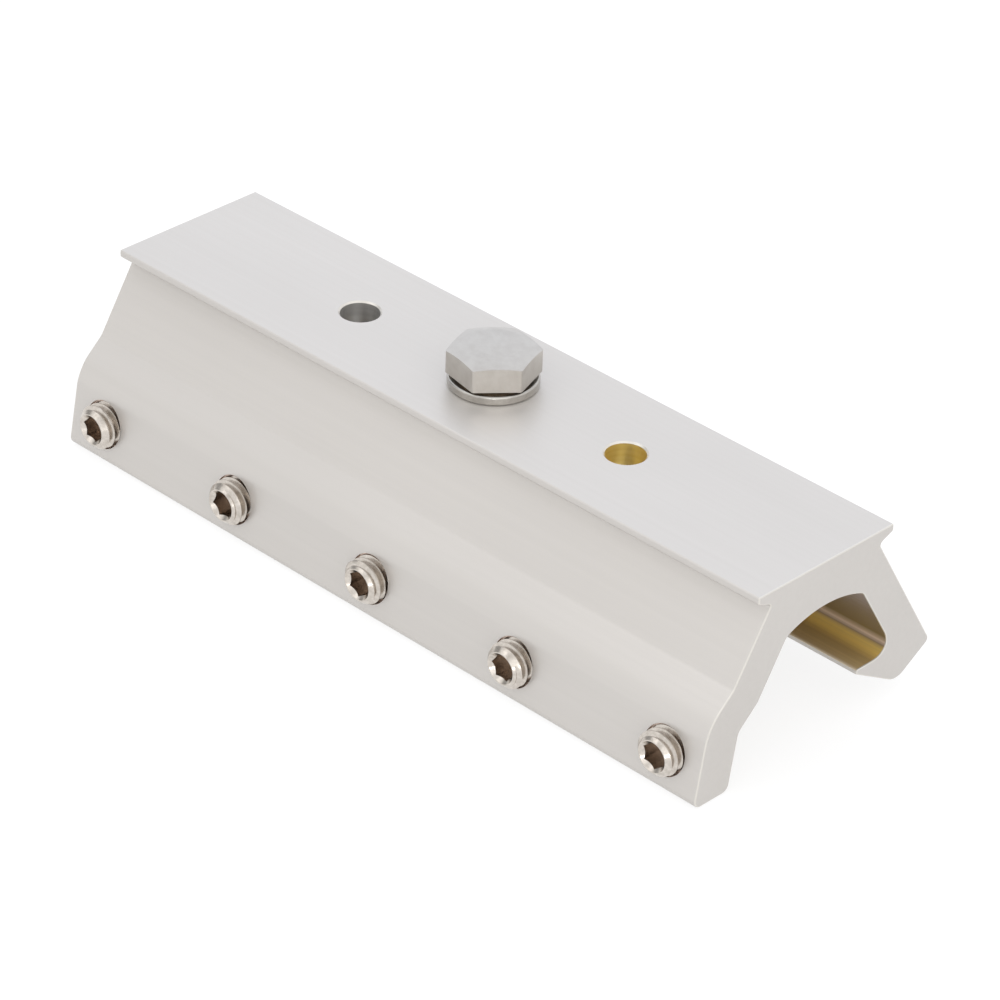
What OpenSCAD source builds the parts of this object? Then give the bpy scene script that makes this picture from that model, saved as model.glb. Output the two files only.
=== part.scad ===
// Seam clamp for fixing solar rails and modules to a standing seam roof.
// X runs along the extruded body, Y across it and Z up.
// The origin is the middle of the flat mounting face.
// The leg with the set screws is at -Y, the leg with the hook at +Y.

/* [Clamp body] */
// Length of the extruded body
body_len = 180; // [150:5:240]
// Height from the foot of the screw leg to the mounting face
body_h = 41.5; // [39:0.5:48]
// Width of the mounting face with both lips
face_w = 38.6; // [37:0.2:44]
// Thickness of the top plate over the crown of the channel
plate_t = 10.3; // [8:0.1:12]
// Radius of the arched ceiling of the channel
crown_r = 26; // [20:1:60]
// Thickness of the leg with the set screws
screw_leg_t = 9.5; // [8:0.1:10.5]
// Thickness of the leg with the hook
hook_leg_t = 8.2; // [7:0.1:9.5]
// Width over the outer faces of the legs, carried up to the mounting face
leg_root_w = 27.2; // [26:0.2:29]
// Slope of the legs away from vertical
leg_angle = 31.5; // [28:0.5:33]

/* [Lips along the mounting face] */
// Height of the blunt edge of each lip
lip_edge_h = 1.6; // [1.3:0.05:2.2]
// Slope of the underside of each lip
lip_slope = 22; // [10:1:30]
// Radius on the top edge of each lip
lip_r = 0.4; // [0.2:0.1:0.8]

/* [Foot of the screw leg] */
// Depth at which the outer face starts to flare out
flare_top = 18.4; // [16:0.1:20]
// Slope of the flare away from vertical
flare_angle = 48; // [42:1:56]
// Distance from the middle of the clamp to the outer edge of the foot
foot_y = 34.2; // [32.6:0.1:36]
// Slope of the foot away from vertical
foot_angle = 9.5; // [4:0.5:14]
// Radius where the flare turns into the foot
foot_turn_r = 10; // [4:0.5:12]
// Radius on the edges of the foot
foot_edge_r = 1.7; // [0.5:0.1:2.5]

/* [Hook leg] */
// Depth of the top of the hook
hook_depth = 30.5; // [28:0.25:32]
// Distance from the middle of the clamp to the tip of the hook
hook_tip_y = 11.75; // [9:0.25:13]
// Thickness of the hook at its tip
hook_tip_t = 1.1; // [0.6:0.1:2]
// Slope of the underside of the hook
hook_slope = 30; // [22:1:34]
// Depth of the outer corner of the hook leg
hook_leg_h = 33.1; // [31:0.1:34]
// Radius in the bottom of the pocket behind the hook
pocket_r = 3.5; // [1.5:0.1:4]
// Radius under the heel of the hook
heel_r = 4; // [1:0.25:5]

/* [Mounting holes] */
// Distance between the two mounting holes
hole_spacing = 75; // [40:1:110]
// Diameter of the mounting holes
hole_d = 8.4; // [6.6:0.1:11]
// Chamfer around the mounting holes
hole_chamfer = 0.35; // [0.1:0.05:1]

/* [Hex bolt] */
// Distance of the bolt from the middle of the face
bolt_x = 1; // [-5:0.1:5]
// Diameter over the thread of the bolt
bolt_d = 9.8; // [7.8:0.1:10.2]
// Length of the bolt under its head
bolt_len = 12; // [8:0.5:12]
// Width of the head across its flats
bolt_flats = 17; // [16:0.1:17.6]
// Height of the head with its washer face
bolt_head_h = 6.5; // [5:0.1:8]
// Height of the washer face
bolt_face_h = 0.6; // [0.2:0.05:1]
// Diameter of the washer face
bolt_face_d = 15.4; // [13.6:0.1:15.8]
// Diameter of the flat on top of the head
bolt_top_d = 13; // [11:0.1:15.4]
// Angle of the chamfer on top of the head
bolt_chamfer_angle = 17; // [15:1:35]
// Turn of the head about its axis
bolt_turn = 49; // [0:1:60]
// Chamfer on the end of the bolt
bolt_tip_chamfer = 1; // [0.4:0.1:1.6]

/* [Flat washer] */
// Outer diameter of the washer
washer_od = 18.8; // [17.6:0.1:21]
// Bore of the washer
washer_id = 10.6; // [10.4:0.1:11.5]
// Thickness of the washer
washer_t = 2; // [1.2:0.1:3]
// Radius on the outer edges of the washer
washer_edge_r = 0.45; // [0.1:0.05:0.55]

/* [Set screws] */
// Distance from each end of the body to the nearest set screw
screw_end_gap = 9.5; // [8:0.5:16]
// Height of the line of set screws above the foot
screw_up = 8.5; // [8:0.1:10]
// Diameter over the thread of a set screw
screw_d = 9.7; // [7.8:0.1:9.8]
// Length of a set screw
screw_len = 16; // [14:0.5:18]
// How far a set screw stands out of the foot
screw_out = 3.4; // [1:0.1:5]
// Diameter of the rounded point
point_d = 6.4; // [4:0.1:6.6]
// Length of the taper down to the point
point_taper = 1.6; // [0.8:0.1:2.4]
// Height of the dome on the point
point_dome = 0.7; // [0.3:0.1:1]
// Width of the hex socket across its flats
socket_flats = 5; // [4:0.1:5.2]
// Depth of the hex socket
socket_depth = 5; // [4:0.5:7]
// Diameter of the countersink in the mouth of the socket
socket_sink_d = 6.6; // [6.1:0.1:6.8]
// Width of the flat rim around the countersink
socket_rim = 0.25; // [0.1:0.05:0.4]

/* [Fits] */
// Clearance on the radius between a thread and its hole
thread_gap = 0.05; // [0.03:0.01:0.08]
// Clearance on the radius between a set screw and the mouth of its hole
mouth_gap = 0.4; // [0.2:0.05:0.6]
// Depth of that mouth
mouth_depth = 1.2; // [0.6:0.1:2]

/* [Hidden] */

screw_count = 5;
// Turn of each hex socket, as the screws were left
socket_turns = [12, 48, 30, 4, 22];

// Angle between the flats that build up an arc of the section
arc_step = 7.5;
crown_steps = 12;
dome_steps = 6;
round_fn = 64;
// How far a cutter runs past the surface that it opens
over = 1;
// Small radii of the section
notch_r = 0.8;
lip_under_r = 0.4;
inner_r = 2.5;
hook_tip_r = 0.3;
hook_corner_r = 1.2;

aluminium = [0.86, 0.86, 0.85];
stainless = [0.74, 0.72, 0.69];

// A straight face of the section is [its y at the mounting face, its y gained per mm of depth]
leg_out = [leg_root_w / 2, tan(leg_angle)];
screw_leg_in = [leg_out[0] - screw_leg_t / cos(leg_angle), leg_out[1]];
hook_leg_in = [leg_out[0] - hook_leg_t / cos(leg_angle), leg_out[1]];
foot_out = [foot_y - body_h * tan(foot_angle), tan(foot_angle)];
foot_in = [foot_out[0] - screw_leg_t / cos(foot_angle), foot_out[1]];
flare_out = [leg_out[0] + flare_top * (leg_out[1] - tan(flare_angle)), tan(flare_angle)];
flare_in = [flare_out[0] - screw_leg_t / cos(flare_angle), flare_out[1]];
lip_y = face_w / 2;
lip_under = [lip_y + lip_edge_h / tan(lip_slope), -1 / tan(lip_slope)];
hook_tip_low = hook_depth + hook_tip_t;
under_hook = [hook_tip_y - hook_tip_low / tan(hook_slope), 1 / tan(hook_slope)];
// The end of the hook leg is cut square to the leg
hook_end = [leg_out[0] + hook_leg_h * (leg_out[1] + 1 / leg_out[1]), -1 / leg_out[1]];

// Places of the arched ceiling, the threaded holes and the set screws
crown_z = -plate_t - crown_r;
crown_y = (hook_leg_in[0] - screw_leg_in[0]) / 2;
crown_half = asin((hook_leg_in[0] - crown_y - crown_z * leg_out[1]) * cos(leg_angle) / crown_r) - leg_angle;
screw_z = screw_up - body_h;
screw_face_y = foot_out[0] - screw_z * foot_out[1];
screw_head_y = screw_face_y + screw_out;
screw_pitch = (body_len - 2 * screw_end_gap) / (screw_count - 1);

// The y of a face at a depth, and the point where two faces meet
function y_at(face, depth) = face[0] + face[1] * depth;
function meet(a, b) =
    let (depth = (b[0] - a[0]) / (a[1] - b[1]))
    [y_at(a, depth), -depth];

// A corner [y, z] of the section with its radius, on the hook side or on the screw side
function hook_side(p, r) = [p[0], p[1], r];
function screw_side(p, r) = [-p[0], p[1], r];

function flat(p) = [p[0], p[1]];
function unit(v) = v / norm(v);

// The points that round corner b, which follows a and comes before c
function round_corner(a, b, c) =
    b[2] == 0 ? [flat(b)] :
    let (
        u = unit(flat(a) - flat(b)),
        v = unit(flat(c) - flat(b)),
        half = acos(u * v) / 2,
        centre = flat(b) + unit(u + v) * b[2] / sin(half),
        from = flat(b) + u * b[2] / tan(half) - centre,
        start = atan2(from[1], from[0]),
        sweep = (180 - 2 * half) * sign(cross(v, u)),
        steps = max(1, ceil(abs(sweep) / arc_step))
    )
    [for (k = [0 : steps]) centre + b[2] * [cos(start + sweep * k / steps), sin(start + sweep * k / steps)]];

// A closed outline from a list of corners [x, y, radius]
function round_outline(corners) =
    let (n = len(corners))
    [for (i = [0 : n - 1]) each round_corner(corners[(i + n - 1) % n], corners[i], corners[(i + 1) % n])];

// The section, round from the hook side's lip by the screw leg, the ceiling and the hook
crown = [
    for (i = [0 : crown_steps])
        let (a = crown_half * (2 * i / crown_steps - 1), at_wall = i == 0 || i == crown_steps)
        [crown_y + crown_r * sin(a), crown_z + crown_r * cos(a), at_wall ? inner_r : 0]
];
section = concat(
    [
        hook_side([lip_y, 0], lip_r),
        screw_side([lip_y, 0], lip_r),
        screw_side([lip_y, -lip_edge_h], lip_under_r),
        screw_side(meet(lip_under, leg_out), notch_r),
        screw_side(meet(leg_out, flare_out), inner_r),
        screw_side(meet(flare_out, foot_out), foot_turn_r),
        screw_side([foot_y, -body_h], foot_edge_r),
        screw_side([y_at(foot_in, body_h), -body_h], foot_edge_r),
        screw_side(meet(flare_in, foot_in), inner_r),
        screw_side(meet(screw_leg_in, flare_in), inner_r)
    ],
    crown,
    [
        hook_side([y_at(hook_leg_in, hook_depth), -hook_depth], pocket_r),
        hook_side([hook_tip_y, -hook_depth], hook_tip_r),
        hook_side([hook_tip_y, -hook_tip_low], hook_tip_r),
        hook_side(meet(under_hook, hook_end), heel_r),
        hook_side([y_at(leg_out, hook_leg_h), -hook_leg_h], hook_corner_r),
        hook_side(meet(lip_under, leg_out), notch_r),
        hook_side([lip_y, -lip_edge_h], lip_under_r)
    ]
);

// A hole down through the top plate
module plate_hole(d) {
    translate([0, 0, -plate_t - 2 * over])
        cylinder(h = plate_t + 3 * over, d = d, $fn = round_fn);
}

module mounting_hole() {
    plate_hole(hole_d);
    translate([0, 0, -hole_chamfer])
        cylinder(h = hole_chamfer + over, d1 = hole_d, d2 = hole_d + 2 * (hole_chamfer + over), $fn = round_fn);
}

// A threaded hole through the foot, with its clear mouth, along +Y from outside
module screw_hole() {
    outside = foot_y + over;
    translate([0, -outside, screw_z]) rotate([-90, 0, 0]) {
        cylinder(h = screw_leg_t + screw_d, d = screw_d + 2 * thread_gap, $fn = round_fn);
        cylinder(h = outside - screw_face_y + mouth_depth, d = screw_d + 2 * mouth_gap, $fn = round_fn);
    }
}

module at_screw(i) {
    translate([(i - (screw_count + 1) / 2) * screw_pitch, 0, 0]) children();
}

module clamp_body() {
    color(aluminium)
    difference() {
        rotate([90, 0, 90])
            linear_extrude(height = body_len, center = true)
                polygon(round_outline(section));
        for (side = [-1, 1])
            translate([side * hole_spacing / 2, 0, 0]) mounting_hole();
        translate([bolt_x, 0, 0]) plate_hole(bolt_d + 2 * thread_gap);
        for (i = [1 : screw_count])
            at_screw(i) screw_hole();
    }
}

module flat_washer() {
    color(stainless)
    translate([bolt_x, 0, 0]) rotate_extrude($fn = round_fn)
        polygon(round_outline([
            [washer_id / 2, 0, 0],
            [washer_od / 2, 0, washer_edge_r],
            [washer_od / 2, washer_t, washer_edge_r],
            [washer_id / 2, washer_t, 0]
        ]));
}

// Hexagon given by its width across flats
module hex_bar(flats, h) {
    cylinder(h = h, d = flats / cos(30), $fn = 6);
}

module hex_bolt() {
    shank_r = bolt_d / 2;
    top_r = bolt_top_d / 2;
    color(stainless)
    translate([bolt_x, 0, washer_t]) {
        intersection() {
            translate([0, 0, bolt_face_h])
                rotate([0, 0, bolt_turn]) hex_bar(bolt_flats, bolt_head_h - bolt_face_h);
            cylinder(h = bolt_head_h, r1 = top_r + bolt_head_h / tan(bolt_chamfer_angle), r2 = top_r,
                     $fn = round_fn);
        }
        cylinder(h = bolt_face_h, d = bolt_face_d, $fn = round_fn);
        rotate_extrude($fn = round_fn)
            polygon([
                [0, -bolt_len],
                [shank_r - bolt_tip_chamfer, -bolt_len],
                [shank_r, bolt_tip_chamfer - bolt_len],
                [shank_r, 0],
                [0, 0]
            ]);
    }
}

// Half section of a set screw, from its driven end at 0 to its point
function screw_half_section() =
    let (
        r = screw_d / 2,
        rim_r = socket_sink_d / 2 + socket_rim,
        point_r = point_d / 2,
        dome_r = (point_r * point_r + point_dome * point_dome) / (2 * point_dome),
        dome_half = asin(point_r / dome_r)
    )
    concat(
        [[0, 0], [rim_r, 0], [r, r - rim_r], [r, screw_len - point_dome - point_taper]],
        [
            for (k = [dome_steps : -1 : 0])
                let (a = dome_half * k / dome_steps)
                [dome_r * sin(a), screw_len - dome_r + dome_r * cos(a)]
        ]
    );

module set_screw(i) {
    sink_r = socket_sink_d / 2;
    color(stainless)
    at_screw(i) translate([0, -screw_head_y, screw_z]) rotate([-90, 0, 0])
    difference() {
        rotate_extrude($fn = round_fn) polygon(screw_half_section());
        translate([0, 0, -over])
            rotate([0, 0, socket_turns[i - 1]]) hex_bar(socket_flats, socket_depth + over);
        translate([0, 0, -over])
            cylinder(h = sink_r + over, r1 = sink_r + over, r2 = 0, $fn = round_fn);
    }
}

clamp_body();
flat_washer();
hex_bolt();
set_screw(1);  // set_screw_1
set_screw(2);  // set_screw_2
set_screw(3);  // set_screw_3
set_screw(4);  // set_screw_4
set_screw(5);  // set_screw_5
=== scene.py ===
import math
import bmesh
import bpy
from mathutils import Matrix, Vector


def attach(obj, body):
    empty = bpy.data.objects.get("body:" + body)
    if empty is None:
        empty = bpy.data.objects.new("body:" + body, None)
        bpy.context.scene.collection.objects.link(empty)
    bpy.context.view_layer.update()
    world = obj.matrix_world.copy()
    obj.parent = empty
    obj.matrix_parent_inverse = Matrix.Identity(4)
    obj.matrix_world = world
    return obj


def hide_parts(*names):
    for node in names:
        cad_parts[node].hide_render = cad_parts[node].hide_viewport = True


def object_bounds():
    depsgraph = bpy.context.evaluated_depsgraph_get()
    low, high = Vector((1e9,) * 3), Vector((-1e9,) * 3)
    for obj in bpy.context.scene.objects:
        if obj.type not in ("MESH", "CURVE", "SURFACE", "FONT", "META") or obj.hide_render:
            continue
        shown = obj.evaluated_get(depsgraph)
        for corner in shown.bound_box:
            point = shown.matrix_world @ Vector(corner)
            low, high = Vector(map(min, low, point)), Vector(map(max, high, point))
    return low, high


# Seam clamp for solar rails: an extruded aluminium body, a hex bolt on its washer and five set screws.
# Sizes are in millimetres, and mm brings them to the frame's metres.

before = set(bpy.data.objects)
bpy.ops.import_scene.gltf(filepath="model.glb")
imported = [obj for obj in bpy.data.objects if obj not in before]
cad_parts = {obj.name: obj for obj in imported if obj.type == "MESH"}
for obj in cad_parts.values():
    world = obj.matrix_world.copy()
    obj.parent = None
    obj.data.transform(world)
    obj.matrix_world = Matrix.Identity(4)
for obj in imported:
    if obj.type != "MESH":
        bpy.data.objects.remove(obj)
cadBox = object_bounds()
print("frame loaded:", len(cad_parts), "nodes")

mm = 0.001
weldGap = 0.0005        # mm, points closer than this are one
roundStep = 7           # degrees between the points of a rounded corner
smoothAngle = 30        # degrees, sharper edges than this stay sharp
turnSteps = 96          # faces round a turned surface
threadSteps = 64        # steps in one turn of a thread
threadDepth = 0.6134    # depth of a thread, as a share of its pitch
over = 1                # mm by which a cutting solid stands past what it cuts


# Helpers that every piece uses

def newObject(name, bm, *materials):
    mesh = bpy.data.meshes.new(name)
    bm.to_mesh(mesh)
    bm.free()
    for material in materials:
        mesh.materials.append(material)
    made = bpy.data.objects.new(name, mesh)
    bpy.context.scene.collection.objects.link(made)
    return made


def tidy(bm):
    bmesh.ops.remove_doubles(bm, verts=bm.verts, dist=weldGap * mm)
    bmesh.ops.recalc_face_normals(bm, faces=bm.faces)


def turned(bm, outline):
    # a half outline of (radius, height) spun once about Z into a closed solid
    verts = [bm.verts.new((radius * mm, 0, height * mm)) for radius, height in outline]
    edges = [bm.edges.new(pair) for pair in zip(verts, verts[1:])]
    bmesh.ops.spin(bm, geom=verts + edges, cent=(0, 0, 0), axis=(0, 0, 1), angle=math.tau,
                   steps=turnSteps, use_merge=True)
    tidy(bm)


def hexBar(bm, flats, low, high, turn, edgeRound=0):
    # a hexagonal bar along Z with one corner turned this many degrees from X
    corner = flats / math.sqrt(3)
    middle = Matrix.Translation((0, 0, (low + high) / 2 * mm))
    place = middle @ Matrix.Rotation(math.radians(turn - 90), 4, "Z")
    bmesh.ops.create_cone(bm, cap_ends=True, segments=6, radius1=corner * mm, radius2=corner * mm,
                          depth=(high - low) * mm, matrix=place)
    if edgeRound:
        upright = [e for e in bm.edges if abs(e.verts[0].co.z - e.verts[1].co.z) > mm]
        bmesh.ops.bevel(bm, geom=upright, offset=edgeRound * mm, offset_type="OFFSET", affect="EDGES",
                        segments=3, profile=0.5, material=-1)
    tidy(bm)


def threadedRod(bm, outer, pitch, low, high):
    # one pitch of the thread spun upwards, then cut square at both ends
    root, crest = pitch / 4, pitch / 8
    inner = outer - threadDepth * pitch
    flank = (pitch - root - crest) / 2
    profile = [(inner, 0), (inner, root), (outer, root + flank), (outer, root + flank + crest),
               (inner, pitch)]
    turns = math.ceil((high - low) / pitch) + 2
    start = low - 1.5 * pitch
    verts = [bm.verts.new((radius * mm, 0, (start + rise) * mm)) for radius, rise in profile]
    edges = [bm.edges.new(pair) for pair in zip(verts, verts[1:])]
    bmesh.ops.spin(bm, geom=verts + edges, cent=(0, 0, 0), axis=(0, 0, 1), angle=math.tau * turns,
                   steps=threadSteps * turns, dvec=(0, 0, pitch / threadSteps * mm))
    bmesh.ops.remove_doubles(bm, verts=bm.verts, dist=weldGap * mm)
    for height, away in ((low, -1), (high, 1)):
        everything = bm.verts[:] + bm.edges[:] + bm.faces[:]
        bmesh.ops.bisect_plane(bm, geom=everything, plane_co=(0, 0, height * mm), plane_no=(0, 0, away),
                               clear_outer=True)
        rim = [e for e in bm.edges if e.is_boundary
               and all(abs(v.co.z - height * mm) < weldGap * mm for v in e.verts)]
        bmesh.ops.holes_fill(bm, edges=rim, sides=0)
    tidy(bm)


def combine(piece, *steps):
    # each step is an operation and the solid it uses, which then goes
    for operation, tool in steps:
        cut = piece.modifiers.new(operation, "BOOLEAN")
        cut.operation = operation
        cut.solver = "EXACT"
        cut.material_mode = "TRANSFER"
        cut.object = tool
    graph = bpy.context.evaluated_depsgraph_get()
    done = bpy.data.meshes.new_from_object(piece.evaluated_get(graph))
    piece.modifiers.clear()
    piece.data = done
    for _, tool in steps:
        bpy.data.objects.remove(tool)


def finishPiece(piece, body, node):
    bm = bmesh.new()
    bm.from_mesh(piece.data)
    bmesh.ops.remove_doubles(bm, verts=bm.verts, dist=weldGap * mm)
    bmesh.ops.dissolve_degenerate(bm, edges=bm.edges, dist=weldGap * mm)
    bmesh.ops.recalc_face_normals(bm, faces=bm.faces)
    bm.to_mesh(piece.data)
    bm.free()
    piece.data.shade_smooth()
    piece.data.set_sharp_from_angle(angle=math.radians(smoothAngle))
    flat = piece.modifiers.new("flat faces", "WEIGHTED_NORMAL")
    flat.keep_sharp = True
    flat.weight = 100
    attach(piece, body)
    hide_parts(node)


# Helpers that every material uses

class Shader:
    # the nodes of a material or of the world, each made and wired in one line
    def __init__(self, name, kind="materials", surface="Principled BSDF", coords="Object"):
        self.owner = getattr(bpy.data, kind).new(name)
        self.owner.use_nodes = True
        self.nodes = self.owner.node_tree.nodes
        self.links = self.owner.node_tree.links
        self.surface = self.nodes[surface]
        self.coords = self.nodes.new("ShaderNodeTexCoord").outputs[coords]

    def wire(self, socket, value):
        if isinstance(value, bpy.types.NodeSocket):
            self.links.new(value, socket)
        else:
            socket.default_value = value

    def add(self, kind, output, **inputs):
        node = self.nodes.new(kind)
        for key, value in inputs.items():
            self.wire(node.inputs[key], value)
        return node.outputs[output]

    def noise(self, scale, detail=2.0, roughness=0.5):
        place = self.add("ShaderNodeMapping", "Vector", Vector=self.coords, Scale=scale)
        return self.add("ShaderNodeTexNoise", "Fac", Vector=place, Scale=1.0, Detail=detail,
                        Roughness=roughness)

    def ramp(self, value, *stops):
        node = self.nodes.new("ShaderNodeValToRGB")
        self.links.new(value, node.inputs["Fac"])
        elements = node.color_ramp.elements
        while len(elements) < len(stops):
            elements.new(0.5)
        for element, (place, colour) in zip(elements, stops):
            element.position = place
            element.color = (*colour, 1) if isinstance(colour, tuple) else (colour, colour, colour, 1)
        return node.outputs["Color"]

    def remap(self, value, low, high, newLow, newHigh, kind="LINEAR"):
        node = self.nodes.new("ShaderNodeMapRange")
        node.interpolation_type = kind
        for socket, setting in zip(("Value", "From Min", "From Max", "To Min", "To Max"),
                                   (value, low, high, newLow, newHigh)):
            self.wire(node.inputs[socket], setting)
        return node.outputs["Result"]

    def maths(self, operation, first, second=0.0):
        node = self.nodes.new("ShaderNodeMath")
        node.operation = operation
        self.wire(node.inputs[0], first)
        self.wire(node.inputs[1], second)
        return node.outputs[0]

    def mix(self, amount, first, second):
        node = self.nodes.new("ShaderNodeMix")
        node.data_type = "RGBA"
        self.wire(node.inputs["Factor"], amount)
        for name, value in (("A", first), ("B", second)):
            socket = [s for s in node.inputs if s.name == name and s.type == "RGBA"][0]
            self.wire(socket, (*value, 1) if isinstance(value, tuple) else value)
        return [s for s in node.outputs if s.type == "RGBA"][0]

    def bump(self, height, strength, distance, under=None):
        node = self.nodes.new("ShaderNodeBump")
        node.inputs["Strength"].default_value = strength
        node.inputs["Distance"].default_value = distance
        self.links.new(height, node.inputs["Height"])
        if under:
            self.links.new(under, node.inputs["Normal"])
        return node.outputs["Normal"]

    def set(self, **inputs):
        for key, value in inputs.items():
            self.wire(self.surface.inputs[key.replace("_", " ")], value)
        return self.owner


# Materials

# bands of painted reflection and painted shade round the pocket of the channel, by the angle in degrees from
# its middle: a painted highlight at the tip, warm painted reflections on the hook, a gold painted reflection,
# painted shade, a pale painted reflection line, a painted-shade wall and a warm crown
channelReflectionBands = dict(
    tip=(-68, (0.97, 0.89, 0.76)), hookRoot=(-62, (0.66, 0.50, 0.26)), hookFace=(-45, (0.58, 0.41, 0.17)),
    goldReflectionLow=(-38, (0.98, 0.69, 0.20)), goldReflectionHigh=(-33, (1.0, 0.73, 0.21)), shade=(-30, (0.35, 0.26, 0.19)),
    paleReflectionLine=(-27.3, (0.95, 0.80, 0.70)), wall=(-22, (0.33, 0.28, 0.18)), crown=(60, (0.58, 0.51, 0.50)),
)
channelPocket = dict(middleY=8, middleZ=-22, start=-72, end=70, waver=0.012)


def anodisedAluminium():
    sh = Shader("anodisedAluminium")
    along = sh.noise((3, 900, 900), 3.0, 0.6)       # fine lines of the extrusion die
    cloud = sh.noise((14, 30, 30))
    grain = sh.noise((2500, 2500, 2500))
    colour = sh.mix(sh.ramp(cloud, (0.3, 0.0), (0.7, 1.0)), (0.660, 0.631, 0.600), (0.684, 0.654, 0.622))
    colour = sh.mix(sh.ramp(along, (0.35, 0.0), (0.65, 0.1)), colour, (0.61, 0.585, 0.555))
    rough = sh.remap(along, 0.3, 0.7, 0.36, 0.44)
    normal = sh.bump(along, 0.12, 0.00002)
    normal = sh.bump(grain, 0.1, 0.00001, normal)
    return sh.set(Base_Color=colour, Metallic=0.55, Roughness=rough, Normal=normal)


def cutAluminiumHighlight():
    # the broken edges of the saw cuts and the plain holes: bare cut metal, lighter than the anodised skin,
    # and also a painted highlight along these edges
    sh = Shader("cutAluminiumHighlight")
    marks = sh.noise((1200, 1200, 1200))
    return sh.set(Base_Color=(0.76, 0.73, 0.68, 1), Metallic=0.7, Roughness=0.36,
                  Normal=sh.bump(marks, 0.1, 0.00001))


def channelPaintedReflections():
    # the same metal deep in the channel, painted warm where it mirrors itself, with bands of painted
    # reflection and painted shade that run along the extrusion round the pocket
    sh = Shader("channelPaintedReflections")
    c = channelPocket
    parts = sh.nodes.new("ShaderNodeSeparateXYZ")
    sh.links.new(sh.coords, parts.inputs[0])
    rise = sh.maths("ADD", parts.outputs["Z"], -c["middleZ"] * mm)
    across = sh.maths("ADD", parts.outputs["Y"], -c["middleY"] * mm)
    turn = sh.maths("ARCTAN2", rise, across)
    along = sh.noise((2, 420, 420), 3.0, 0.6)
    turn = sh.maths("ADD", turn, sh.remap(along, 0.3, 0.7, -c["waver"], c["waver"]))
    low, high = math.radians(c["start"]), math.radians(c["end"])
    stops = [((math.radians(place) - low) / (high - low), colour) for place, colour in channelReflectionBands.values()]
    colour = sh.ramp(sh.remap(turn, low, high, 0.0, 1.0), *stops)
    streaks = sh.noise((2, 1300, 1300))
    colour = sh.mix(sh.remap(streaks, 0.35, 0.65, 0.0, 0.2), colour, (0.30, 0.22, 0.12))
    # the screw leg's side of the channel takes one plain warm painted reflection instead of the bands
    colour = sh.mix(sh.remap(parts.outputs["Y"], 0.0, 0.006, 1.0, 0.0), colour, (0.60, 0.51, 0.36))
    normal = sh.bump(along, 0.15, 0.00003)
    return sh.set(Base_Color=colour, Metallic=0.5, Roughness=0.36, Normal=normal)


def greyBore():
    sh = Shader("greyBore")
    rings = sh.noise((60, 60, 1600))
    colour = sh.ramp(rings, (0.3, (0.56, 0.55, 0.535)), (0.7, (0.64, 0.63, 0.61)))
    return sh.set(Base_Color=colour, Metallic=0.8, Roughness=0.35, Normal=sh.bump(rings, 0.3, 0.00002))


def brownShadeBore():
    # the threaded holes of the set screws, where only a rim shows round each screw; its brown is painted
    # shade, the colour of the shaded gap there
    sh = Shader("brownShadeBore")
    rings = sh.noise((1600, 60, 1600))
    colour = sh.ramp(rings, (0.3, (0.66, 0.52, 0.44)), (0.7, (0.78, 0.64, 0.55)))
    return sh.set(Base_Color=colour, Metallic=0.7, Roughness=0.4, Normal=sh.bump(rings, 0.3, 0.00002))


def goldReflectionBore():
    # the right plain hole's bore: the same metal, painted gold as a painted reflection of the golden channel
    # it opens into
    sh = Shader("goldReflectionBore")
    rings = sh.noise((60, 60, 1600))
    colour = sh.ramp(rings, (0.3, (0.87, 0.71, 0.28)), (0.7, (0.95, 0.79, 0.35)))
    return sh.set(Base_Color=colour, Metallic=0.8, Roughness=0.35, Normal=sh.bump(rings, 0.3, 0.00002))


def headedSteel():
    # cold headed stainless of the bolt, with a slightly uneven skin
    sh = Shader("headedSteel")
    skin = sh.noise((420, 420, 420), 4.0, 0.6)
    colour = sh.mix(sh.ramp(skin, (0.35, 0.0), (0.65, 1.0)), (0.545, 0.517, 0.482), (0.60, 0.575, 0.54))
    normal = sh.bump(skin, 0.2, 0.00005)
    rough = sh.remap(skin, 0.3, 0.7, 0.36, 0.42)
    return sh.set(Base_Color=colour, Metallic=1.0, Roughness=rough, Normal=normal)


def underHeadPaintedShade():
    # the face under the bolt's head, painted dark brown as painted shade for the gap under the head
    sh = Shader("underHeadPaintedShade")
    return sh.set(Base_Color=(0.26, 0.19, 0.13, 1), Metallic=0.8, Roughness=0.45)


def turnedSteel(name, base, dark, roughness):
    # bright stainless with fine turning marks
    sh = Shader(name)
    marks = sh.noise((900, 900, 900), 3.0, 0.6)
    colour = sh.mix(sh.ramp(marks, (0.3, 0.0), (0.7, 1.0)), dark, base)
    return sh.set(Base_Color=colour, Metallic=1.0, Roughness=roughness, Normal=sh.bump(marks, 0.25, 0.00003))


def shadedSocketSteel():
    # darker and browner than the screw's own steel: painted shade inside the hex socket
    sh = Shader("shadedSocketSteel")
    marks = sh.noise((700, 700, 700))
    colour = sh.ramp(marks, (0.3, (0.43, 0.37, 0.32)), (0.7, (0.58, 0.51, 0.45)))
    return sh.set(Base_Color=colour, Metallic=1.0, Roughness=0.2, Normal=sh.bump(marks, 0.3, 0.00003))


aluminium = anodisedAluminium()
cutEdgeHighlight = cutAluminiumHighlight()
channelReflectionSkin = channelPaintedReflections()
boreGrey = greyBore()
boreGoldReflection = goldReflectionBore()
boreBrownShade = brownShadeBore()
boltSteel = headedSteel()
underHeadShade = underHeadPaintedShade()
washerSteel = turnedSteel("washerSteel", (0.53, 0.51, 0.48), (0.44, 0.42, 0.39), 0.26)
screwSteel = turnedSteel("screwSteel", (0.68, 0.63, 0.575), (0.52, 0.475, 0.425), 0.24)
socketPaintedShade = shadedSocketSteel()
print("materials made")


# The extruded body

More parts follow.
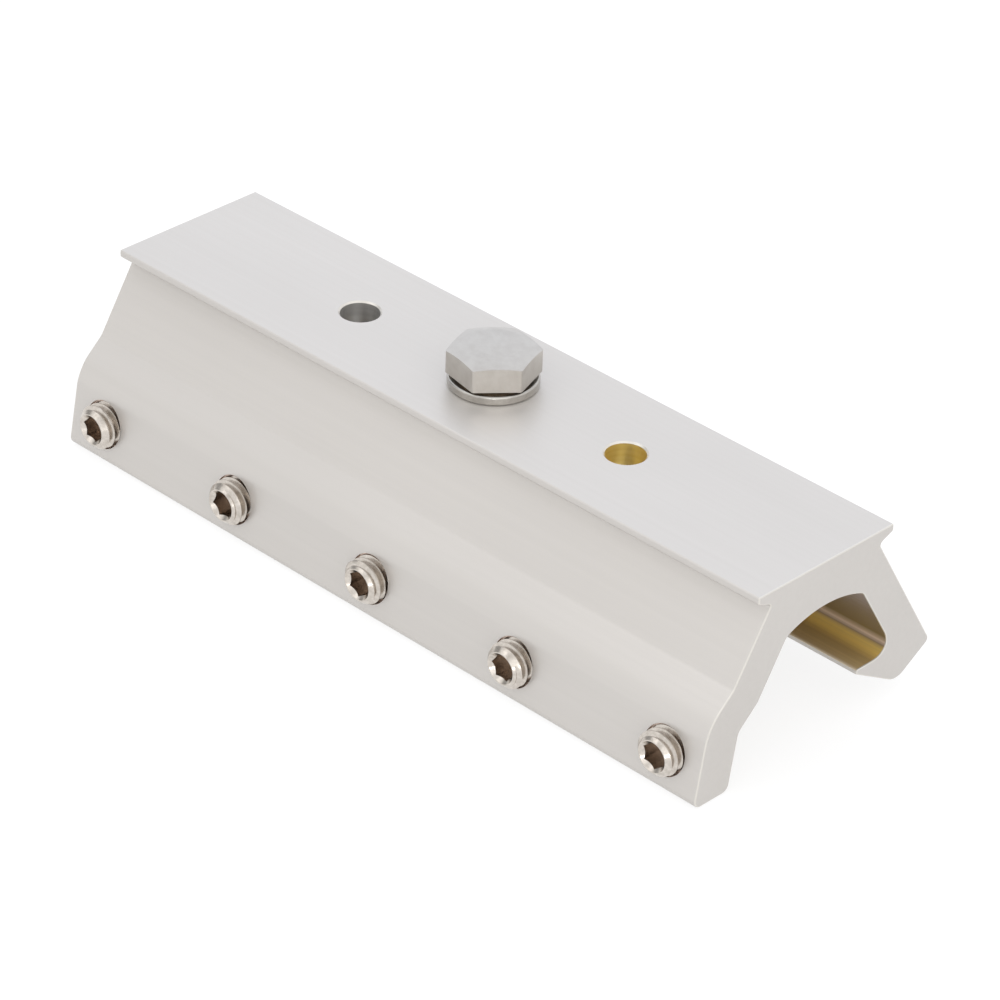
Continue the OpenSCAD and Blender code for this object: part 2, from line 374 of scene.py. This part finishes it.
clampBody = dict(
    length=180, height=41.5, faceWidth=38.6, plate=10.3, crownRadius=26, screwLeg=9.5, hookLegThick=8.2,
    rootWidth=27.2, legSlope=31.5, lipEdge=1.6, lipSlope=22, lipRound=0.4, lipUnderRound=0.4, notchRound=0.8,
    flareTop=18.4, flareSlope=48, footEdge=34.2, footSlope=9.5, footTurn=10, footRound=1.7,
    hookDepth=30.5, hookTip=11.75, hookTipThick=1.1, hookSlope=30, hookLeg=33.1, pocketRound=3.5, heelRound=4,
    innerRound=2.5, tipRound=0.3, cornerRound=1.2, endRound=0.28, crownSteps=32,
)
plateHoles = dict(spacing=75, diameter=8.4, chamfer=0.35, boltPlace=1, boltBore=9.9, cut=20)
screwHoles = dict(count=5, endGap=9.5, up=8.5, bore=9.8, mouth=10.5, mouthDepth=1.2, cut=19)
bodySkins = (aluminium, channelReflectionSkin, boreGrey, boreGoldReflection, boreBrownShade, cutEdgeHighlight)
channelFaces = dict(aboveCrown=1, belowCrown=3, insideWall=0.8, belowHook=0.6)


def slope(degrees):
    return math.tan(math.radians(degrees))


def sectionCorners(s):
    # a straight face is (its y at the mounting face, y gained per mm of depth); a corner is (y, z, radius)
    legOut = (s["rootWidth"] / 2, slope(s["legSlope"]))

    def inward(face, thick, degrees):
        return face[0] - thick / math.cos(math.radians(degrees)), face[1]

    screwLegIn = inward(legOut, s["screwLeg"], s["legSlope"])
    hookLegIn = inward(legOut, s["hookLegThick"], s["legSlope"])
    footOut = (s["footEdge"] - s["height"] * slope(s["footSlope"]), slope(s["footSlope"]))
    footIn = inward(footOut, s["screwLeg"], s["footSlope"])
    flareOut = (legOut[0] + s["flareTop"] * (legOut[1] - slope(s["flareSlope"])), slope(s["flareSlope"]))
    flareIn = inward(flareOut, s["screwLeg"], s["flareSlope"])
    lip = s["faceWidth"] / 2
    lipUnder = (lip + s["lipEdge"] / slope(s["lipSlope"]), -1 / slope(s["lipSlope"]))
    tipLow = s["hookDepth"] + s["hookTipThick"]
    underHook = (s["hookTip"] - tipLow / slope(s["hookSlope"]), 1 / slope(s["hookSlope"]))
    hookEnd = (legOut[0] + s["hookLeg"] * (legOut[1] + 1 / legOut[1]), -1 / legOut[1])

    def at(face, depth):
        return face[0] + face[1] * depth

    def meet(a, b):
        depth = (b[0] - a[0]) / (a[1] - b[1])
        return at(a, depth), -depth

    def corner(side, point, radius):
        return side * point[0], point[1], radius

    height, hookDepth, hookLeg, inner = s["height"], s["hookDepth"], s["hookLeg"], s["innerRound"]
    crownRadius = s["crownRadius"]
    crownZ = -s["plate"] - crownRadius
    crownY = (hookLegIn[0] - screwLegIn[0]) / 2
    reach = (hookLegIn[0] - crownY - crownZ * legOut[1]) * math.cos(math.radians(s["legSlope"]))
    crownHalf = math.asin(reach / crownRadius) - math.radians(s["legSlope"])
    crown = []
    for step in range(s["crownSteps"] + 1):
        angle = crownHalf * (2 * step / s["crownSteps"] - 1)
        atWall = step in (0, s["crownSteps"])
        crown.append((crownY + crownRadius * math.sin(angle), crownZ + crownRadius * math.cos(angle),
                      inner if atWall else 0))
    # the ends of the arc stay clear of the rounding beside them
    return [
        corner(1, (lip, 0), s["lipRound"]),
        corner(-1, (lip, 0), s["lipRound"]),
        corner(-1, (lip, -s["lipEdge"]), s["lipUnderRound"]),
        corner(-1, meet(lipUnder, legOut), s["notchRound"]),
        corner(-1, meet(legOut, flareOut), inner),
        corner(-1, meet(flareOut, footOut), s["footTurn"]),
        corner(-1, (s["footEdge"], -height), s["footRound"]),
        corner(-1, (at(footIn, height), -height), s["footRound"]),
        corner(-1, meet(flareIn, footIn), inner),
        corner(-1, meet(screwLegIn, flareIn), inner),
        *crown,
        corner(1, (at(hookLegIn, hookDepth), -hookDepth), s["pocketRound"]),
        corner(1, (s["hookTip"], -hookDepth), s["tipRound"]),
        corner(1, (s["hookTip"], -tipLow), s["tipRound"]),
        corner(1, meet(underHook, hookEnd), s["heelRound"]),
        corner(1, (at(legOut, hookLeg), -hookLeg), s["cornerRound"]),
        corner(1, meet(lipUnder, legOut), s["notchRound"]),
        corner(1, (lip, -s["lipEdge"]), s["lipUnderRound"]),
    ]


def roundOff(bm, vert, radius):
    # rounds one corner of a flat outline to a radius
    here = vert.co
    ways = [(e.other_vert(vert).co - here) for e in vert.link_edges]
    half = ways[0].angle(ways[1]) / 2
    setback = radius * mm / math.tan(half)
    steps = max(2, math.ceil((180 - 2 * math.degrees(half)) / roundStep))
    bmesh.ops.bevel(bm, geom=[vert], offset=setback, offset_type="OFFSET", affect="VERTICES",
                    segments=steps, profile=0.5, material=-1)


def makeBody():
    s = clampBody
    half = s["length"] / 2 * mm
    corners = sectionCorners(s)
    bm = bmesh.new()
    verts = [bm.verts.new((-half, y * mm, z * mm)) for y, z, _ in corners]
    bm.faces.new(verts)
    for vert, (_, _, radius) in zip(verts, corners):
        if radius:
            roundOff(bm, vert, radius)
    across = bmesh.ops.extrude_face_region(bm, geom=bm.faces[:])["geom"]
    far = [v for v in across if isinstance(v, bmesh.types.BMVert)]
    bmesh.ops.translate(bm, vec=(2 * half, 0, 0), verts=far)
    bmesh.ops.recalc_face_normals(bm, faces=bm.faces)
    for face in bm.faces:
        inside = insideChannel(face.calc_center_median() / mm, face.normal)
        face.material_index = bodySkins.index(channelReflectionSkin if inside else aluminium)
    # both saw cuts have their edges just broken, in the cut metal with its painted highlight
    rims = [e for e in bm.edges if abs(e.verts[0].co.x - e.verts[1].co.x) < weldGap * mm]
    bmesh.ops.bevel(bm, geom=rims, offset=s["endRound"] * mm, offset_type="OFFSET", affect="EDGES",
                    segments=2, profile=0.5, material=bodySkins.index(cutEdgeHighlight))
    return newObject("clampBody", bm, *bodySkins)


def insideChannel(point, normal):
    # true on the faces between the two legs, for a point in mm
    s, near = clampBody, channelFaces
    depth = -point.z
    if abs(normal.x) > 0.5 or depth < s["plate"] - near["aboveCrown"]:
        return False
    if point.y < 0:
        return normal.y > 0.1 or depth < s["plate"] + near["belowCrown"] and normal.z < -0.5
    thick = s["hookLegThick"] / math.cos(math.radians(s["legSlope"]))
    wall = s["rootWidth"] / 2 + depth * slope(s["legSlope"]) - thick + near["insideWall"]
    return point.y < wall and depth < s["hookDepth"] + near["belowHook"]


def screwFaceY():
    # how far out the screw leg's face is at the height of the screws
    return clampBody["footEdge"] - screwHoles["up"] * slope(clampBody["footSlope"])


def screwPlaces(startY):
    # one matrix for each set screw, its Z along the thread into the leg, starting this far out
    s, w = clampBody, screwHoles
    pitch = (s["length"] - 2 * w["endGap"]) / (w["count"] - 1)
    inwards = Matrix.Rotation(math.radians(-90), 4, "X")
    return [Matrix.Translation(((i - (w["count"] - 1) / 2) * pitch * mm, -startY * mm,
                                (w["up"] - s["height"]) * mm)) @ inwards
            for i in range(w["count"])]


def holeCutter(name, material, outline, place):
    bm = bmesh.new()
    turned(bm, outline)
    bmesh.ops.transform(bm, matrix=place, verts=bm.verts)
    return newObject(name, bm, material)


def cutHoles(piece):
    h, w = plateHoles, screwHoles
    radius, chamfer, low = h["diameter"] / 2, h["chamfer"], -h["cut"]
    cutters = []
    for side, material in ((-1, boreGrey), (1, boreGoldReflection)):
        outline = [(0, over), (radius + chamfer + over, over), (radius, -chamfer), (radius, low), (0, low)]
        cutters.append(holeCutter("plateHole", material, outline,
                                  Matrix.Translation((side * h["spacing"] / 2 * mm, 0, 0))))
    bore = h["boltBore"] / 2
    cutters.append(holeCutter("boltHole", boreGrey, [(0, over), (bore, over), (bore, low), (0, low)],
                              Matrix.Translation((h["boltPlace"] * mm, 0, 0))))
    outside = clampBody["footEdge"] + over
    mouth, bore = w["mouth"] / 2, w["bore"] / 2
    reach = outside - screwFaceY() + w["mouthDepth"]
    outline = [(0, 0), (mouth, 0), (mouth, reach), (bore, reach), (bore, w["cut"]), (0, w["cut"])]
    for place in screwPlaces(outside):
        cutters.append(holeCutter("screwHole", boreBrownShade, outline, place))
    combine(piece, *(("DIFFERENCE", cutter) for cutter in cutters))
    # the chamfers round the two plain holes are cut metal as well, with its painted highlight
    for face in piece.data.polygons:
        high, wide = face.center.z > -2 * chamfer * mm, abs(face.center.y) > h["diameter"] * mm
        if high and not wide and 0.3 < face.normal.z < 0.95:
            face.material_index = bodySkins.index(cutEdgeHighlight)


body = makeBody()
cutHoles(body)
finishPiece(body, "clamp", "clamp_body")
print("body made:", len(body.data.polygons), "faces")


# The flat washer under the bolt's head

flatWasher = dict(outer=18.8, bore=10.6, thick=2, edgeRound=0.45, boreRound=0.25, seatRound=0.1, place=1)


def makeWasher():
    w = flatWasher
    outer, bore, thick = w["outer"] / 2, w["bore"] / 2, w["thick"]
    bm = bmesh.new()
    ring = [bm.verts.new((radius * mm, 0, height * mm))
            for radius, height in ((bore, 0), (outer, 0), (outer, thick), (bore, thick))]
    bm.faces.new(ring)
    for vert, radius in zip(ring, (w["seatRound"], w["edgeRound"], w["edgeRound"], w["boreRound"])):
        roundOff(bm, vert, radius)
    bmesh.ops.spin(bm, geom=bm.verts[:] + bm.edges[:], cent=(0, 0, 0), axis=(0, 0, 1), angle=math.tau,
                   steps=turnSteps, use_merge=True)
    # the section itself is the one face with many corners, and it goes
    bmesh.ops.delete(bm, geom=[f for f in bm.faces if len(f.verts) > 4], context="FACES")
    bmesh.ops.translate(bm, vec=(w["place"] * mm, 0, 0), verts=bm.verts)
    tidy(bm)
    return newObject("flatWasher", bm, washerSteel)


washer = makeWasher()
finishPiece(washer, "clamp", "flat_washer")


# The hex bolt

hexBolt = dict(thread=9.8, pitch=1.5, length=12, flats=17, head=6.5, faceHeight=0.6, faceDiameter=15.4,
               faceBevel=0.2, topDiameter=13, chamferSlope=17, chamferSpread=4, turn=49, tipChamfer=1,
               edgeRound=0.3, overlap=0.1, place=1, base=2)


def makeBolt():
    b = hexBolt
    top, head, low, overlap = b["topDiameter"] / 2, b["head"], b["faceHeight"], b["overlap"]
    bm = bmesh.new()
    hexBar(bm, b["flats"], low, head + over, b["turn"], b["edgeRound"])
    bolt = newObject("hexBolt", bm, boltSteel)

    # the turned envelope gives the chamfer on top of the head
    wide, drop = top + b["chamferSpread"], b["chamferSpread"] * slope(b["chamferSlope"])
    bm = bmesh.new()
    turned(bm, [(0, low - over), (wide, low - over), (wide, head - drop), (top, head), (0, head)])
    envelope = newObject("headEnvelope", bm, boltSteel)

    face, bevel = b["faceDiameter"] / 2, b["faceBevel"]
    bm = bmesh.new()
    turned(bm, [(0, 0), (face - bevel, 0), (face, bevel), (face, low + overlap), (0, low + overlap)])
    washerFace = newObject("headFace", bm, underHeadShade)

    outer, length, chamfer = b["thread"] / 2, b["length"], b["tipChamfer"]
    bm = bmesh.new()
    threadedRod(bm, outer, b["pitch"], -length - over, 3 * overlap)
    shank = newObject("shank", bm, boltSteel)
    bm = bmesh.new()
    turned(bm, [(0, -length), (outer - chamfer, -length), (outer + overlap, -length + chamfer + overlap),
                (outer + overlap, 2 * overlap), (0, 2 * overlap)])
    shankEnvelope = newObject("shankEnvelope", bm, boltSteel)
    combine(shank, ("INTERSECT", shankEnvelope))
    combine(bolt, ("INTERSECT", envelope), ("UNION", washerFace), ("UNION", shank))
    bolt.data.transform(Matrix.Translation((b["place"] * mm, 0, b["base"] * mm)))
    return bolt


bolt = makeBolt()
finishPiece(bolt, "bolt", "hex_bolt")
print("bolt and washer made:", len(bolt.data.polygons), "faces")


# The five set screws

setScrew = dict(thread=9.7, pitch=1.5, length=16, out=3.4, socket=5, socketDepth=5, sink=6.6, rim=0.25,
                point=6.4, taper=1.6, dome=0.7, domeSteps=8, clear=0.1, turns=(12, 48, 30, 4, 22),
                threadTurn=7)       # each thread is turned this many times its socket's turn


def makeScrew():
    # along Z from the driven end at 0 to the point
    t = setScrew
    outer, rim, length = t["thread"] / 2, t["sink"] / 2 + t["rim"], t["length"]
    bm = bmesh.new()
    threadedRod(bm, outer, t["pitch"], -over / 2, length + over / 2)
    screw = newObject("setScrew", bm, screwSteel)

    clear, point, steps = t["clear"], t["point"] / 2, t["domeSteps"]
    domeRadius = (point ** 2 + t["dome"] ** 2) / (2 * t["dome"])
    domeHalf = math.asin(point / domeRadius)
    taperSlope = (outer - point) / t["taper"]
    outline = [(0, 0), (rim, 0), (outer + clear, outer + clear - rim),
               (outer + clear, length - t["dome"] - t["taper"] - clear / taperSlope)]
    for step in range(steps, -1, -1):
        angle = domeHalf * step / steps
        outline.append((domeRadius * math.sin(angle), length - domeRadius + domeRadius * math.cos(angle)))
    bm = bmesh.new()
    turned(bm, outline)
    envelope = newObject("screwEnvelope", bm, screwSteel)
    combine(screw, ("INTERSECT", envelope))
    return screw


def cutSocket(screw, turn):
    t = setScrew
    sink = t["sink"] / 2
    bm = bmesh.new()
    hexBar(bm, t["socket"], -over, t["socketDepth"], turn)
    socket = newObject("socket", bm, socketPaintedShade)
    bm = bmesh.new()
    turned(bm, [(0, -over), (sink + over, -over), (0, sink)])
    mouth = newObject("socketMouth", bm, screwSteel)
    combine(screw, ("DIFFERENCE", socket), ("DIFFERENCE", mouth))


def makeScrews():
    t = setScrew
    blank = makeScrew()
    for i, (turn, place) in enumerate(zip(t["turns"], screwPlaces(screwFaceY() + t["out"])), 1):
        screw = bpy.data.objects.new("setScrew%d" % i, blank.data.copy())
        bpy.context.scene.collection.objects.link(screw)
        screw.data.transform(Matrix.Rotation(math.radians(turn * t["threadTurn"]), 4, "Z"))
        cutSocket(screw, turn)
        screw.data.transform(place)
        finishPiece(screw, "screw_%d" % i, "set_screw_%d" % i)
    bpy.data.objects.remove(blank)


makeScrews()
print("set screws made")


# Floor, light and camera

studio = dict(
    floorDrop=0.3, floorSize=6, floorColour=(0.25, 0.25, 0.25), floorGlow=0.81, room=(0.97, 0.97, 0.97),
    patches=(
        dict(toward=(-0.60, -0.62, 0.45), wide=50, core=15, colour=(1.11, 1.11, 1.11)),
        dict(toward=(-0.65, 0.55, 0.60), wide=60, core=25, colour=(1.06, 1.10, 1.18)),
        dict(toward=(-0.88, -0.33, 0.32), wide=22, core=9, colour=(0.4, 0.4, 0.4)),
        dict(toward=(0.90, -0.10, 0.25), wide=55, core=20, colour=(1.2, 1.2, 1.2)),
    ),
    lamps=(
        dict(name="keyLight", place=(-0.3, -0.6, 0.7), aim=(0, 0, -0.01), size=(0.4, 0.4), power=0.25),
        dict(name="frontLight", place=(0.96, -0.72, 0.54), aim=(0, 0, -0.01), size=(1.3, 1.3), power=2.6),
        dict(name="lowLight", place=(0.64, -0.68, 0.015), aim=(0, 0, -0.02), size=(0.14, 0.07), power=0.32),
    ),
)
cameraSet = dict(place=(0.54378, -0.56829, 0.46516), turn=-43.5233, down=32.0957, roll=2.1633, lens=164.101,
                 sensor=36)


def makeFloor():
    bm = bmesh.new()
    size = studio["floorSize"] / 2
    bmesh.ops.create_grid(bm, x_segments=1, y_segments=1, size=size,
                          matrix=Matrix.Translation((0, 0, cadBox[0].z - studio["floorDrop"] * mm)))
    sh = Shader("floorWhite")
    light = sh.nodes.new("ShaderNodeLightPath")
    seen = sh.maths("MAXIMUM", light.outputs["Is Camera Ray"], light.outputs["Is Glossy Ray"])
    seen = sh.maths("MAXIMUM", seen, light.outputs["Is Transmission Ray"])
    glow = sh.maths("MULTIPLY", seen, studio["floorGlow"])
    white = sh.set(Base_Color=(*studio["floorColour"], 1), Roughness=0.9, Specular_IOR_Level=0.0,
                   Emission_Color=(1, 1, 1, 1), Emission_Strength=glow)
    floor = newObject("floor", bm, white)


def makeWorld():
    # a plain room, with wide soft patches that are brighter or darker
    sh = Shader("studioWorld", "worlds", "Background", "Generated")
    colour = studio["room"]
    for soft in studio["patches"]:
        along = sh.nodes.new("ShaderNodeVectorMath")
        along.operation = "DOT_PRODUCT"
        sh.wire(along.inputs[0], sh.coords)
        sh.wire(along.inputs[1], Vector(soft["toward"]).normalized())
        edge, full = (math.cos(math.radians(soft[size])) for size in ("wide", "core"))
        amount = sh.remap(along.outputs["Value"], edge, full, 0.0, 1.0, "SMOOTHSTEP")
        colour = sh.mix(amount, colour, soft["colour"])
    bpy.context.scene.world = sh.set(Color=colour, Strength=1.0)


def softBox(name, place, aim, size, power):
    lamp = bpy.data.lights.new(name, "AREA")
    lamp.shape = "RECTANGLE"
    lamp.size, lamp.size_y = size
    lamp.energy = power
    box = bpy.data.objects.new(name, lamp)
    box.location = place
    box.rotation_euler = (Vector(aim) - Vector(place)).to_track_quat("-Z", "Y").to_euler()
    bpy.context.scene.collection.objects.link(box)


def makeCamera():
    c = cameraSet
    lens = bpy.data.cameras.new("camera")
    lens.lens, lens.sensor_width, lens.sensor_fit = c["lens"], c["sensor"], "HORIZONTAL"
    lens.clip_start, lens.clip_end = 0.01, 20
    eye = bpy.data.objects.new("camera", lens)
    look = (Matrix.Rotation(math.radians(-c["turn"]), 3, "Z")
            @ Matrix.Rotation(math.radians(90 - c["down"]), 3, "X")
            @ Matrix.Rotation(math.radians(c["roll"]), 3, "Z"))
    eye.matrix_world = Matrix.Translation(c["place"]) @ look.to_4x4()
    bpy.context.scene.collection.objects.link(eye)
    bpy.context.scene.camera = eye


makeFloor()
makeWorld()
for lamp in studio["lamps"]:
    softBox(**lamp)
makeCamera()
bpy.context.scene.view_settings.view_transform = "Standard"
print("studio made")
